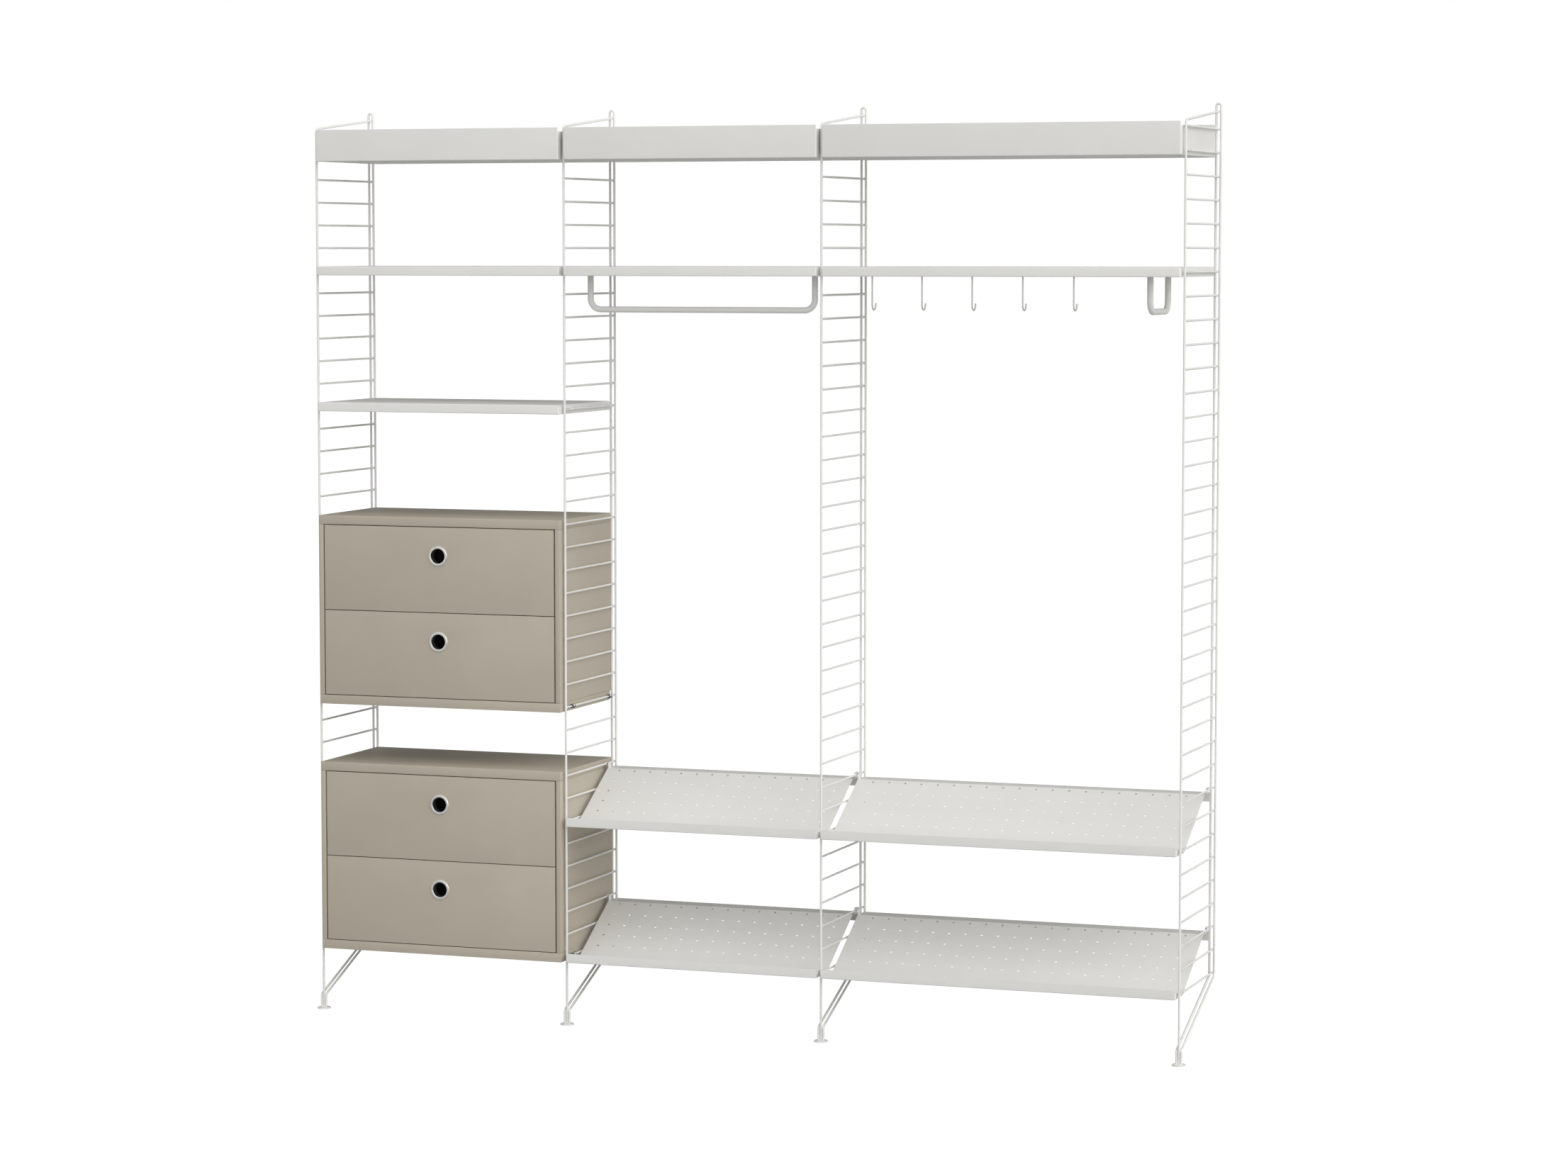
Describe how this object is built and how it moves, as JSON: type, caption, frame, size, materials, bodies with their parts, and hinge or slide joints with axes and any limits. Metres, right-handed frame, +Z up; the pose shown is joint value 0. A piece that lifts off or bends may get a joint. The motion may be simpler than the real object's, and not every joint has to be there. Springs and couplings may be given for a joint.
{
  "type": "wall shelving system",
  "caption": "Wall shelving of wire ladder panels with trays, shelves, sloped shoe shelves, drawer cabinets, hanging rails and coat hooks.",
  "frame": {"origin": "on the floor, at the middle of the unit's width and depth", "axes": "+X to the right seen from the front, +Y towards the wall, +Z up"},
  "size_m": [2, 0.303, 2.006],
  "materials": {
    "white_metal": "white powder coat, fine satin texture",
    "beige_board": "fibreboard with a matt beige-grey lacquer",
    "back_board": "thin fibreboard, beige-grey",
    "drawer_board": "fibreboard with a matt light beige film",
    "pull_metal": "satin turned metal",
    "runner_steel": "zinc-plated steel strip",
    "runner_nylon": "white nylon",
    "sleeve_rubber": "black rubber",
    "screw_steel": "zinc-plated steel",
    "magnet_steel": "nickel-plated steel"
  },
  "bodies": {
    "root": {"cabinet_clips": "white_metal", "clip_screws": "screw_steel", "clip_sleeves": "sleeve_rubber", "clothes_rail": "white_metal", "coat_hooks": "white_metal", "end_rail": "white_metal", "foot_plates": "white_metal", "lower_cabinet_back": "back_board", "lower_cabinet_bottom": "beige_board", "lower_cabinet_left_side": "beige_board", "lower_cabinet_right_side": "beige_board", "lower_cabinet_runners": "runner_steel", "lower_cabinet_top": "beige_board", "rail_magnets": "magnet_steel", "shelf_left": "white_metal", "shelf_left_lower": "white_metal", "shelf_middle": "white_metal", "shelf_right": "white_metal", "shoe_shelf_middle_lower": "white_metal", "shoe_shelf_middle_upper": "white_metal", "shoe_shelf_right_lower": "white_metal", "shoe_shelf_right_upper": "white_metal", "tray_left": "white_metal", "tray_middle": "white_metal", "tray_right": "white_metal", "upper_cabinet_back": "back_board", "upper_cabinet_bottom": "beige_board", "upper_cabinet_left_side": "beige_board", "upper_cabinet_right_side": "beige_board", "upper_cabinet_runners": "runner_steel", "upper_cabinet_top": "beige_board", "wire_panel_left": "white_metal", "wire_panel_mid_left": "white_metal", "wire_panel_mid_right": "white_metal", "wire_panel_right": "white_metal"},
    "upper_cabinet_lower_drawer": {"upper_cabinet_lower_drawer_bottom": "drawer_board", "upper_cabinet_lower_drawer_box": "drawer_board", "upper_cabinet_lower_drawer_front": "beige_board", "upper_cabinet_lower_drawer_pull": "pull_metal", "upper_cabinet_lower_drawer_runners": "runner_nylon"},
    "upper_cabinet_upper_drawer": {"upper_cabinet_upper_drawer_bottom": "drawer_board", "upper_cabinet_upper_drawer_box": "drawer_board", "upper_cabinet_upper_drawer_front": "beige_board", "upper_cabinet_upper_drawer_pull": "pull_metal", "upper_cabinet_upper_drawer_runners": "runner_nylon"},
    "lower_cabinet_lower_drawer": {"lower_cabinet_lower_drawer_bottom": "drawer_board", "lower_cabinet_lower_drawer_box": "drawer_board", "lower_cabinet_lower_drawer_front": "beige_board", "lower_cabinet_lower_drawer_pull": "pull_metal", "lower_cabinet_lower_drawer_runners": "runner_nylon"},
    "lower_cabinet_upper_drawer": {"lower_cabinet_upper_drawer_bottom": "drawer_board", "lower_cabinet_upper_drawer_box": "drawer_board", "lower_cabinet_upper_drawer_front": "beige_board", "lower_cabinet_upper_drawer_pull": "pull_metal", "lower_cabinet_upper_drawer_runners": "runner_nylon"}
  },
  "joints": [
    {"name": "upper_cabinet_lower_drawer_slide", "type": "slide", "parent": "root", "child": "upper_cabinet_lower_drawer", "axis": [0, -1, 0], "range_m": [0, 0.19]},
    {"name": "upper_cabinet_upper_drawer_slide", "type": "slide", "parent": "root", "child": "upper_cabinet_upper_drawer", "axis": [0, -1, 0], "range_m": [0, 0.19]},
    {"name": "lower_cabinet_lower_drawer_slide", "type": "slide", "parent": "root", "child": "lower_cabinet_lower_drawer", "axis": [0, -1, 0], "range_m": [0, 0.19]},
    {"name": "lower_cabinet_upper_drawer_slide", "type": "slide", "parent": "root", "child": "lower_cabinet_upper_drawer", "axis": [0, -1, 0], "range_m": [0, 0.19]}
  ]
}
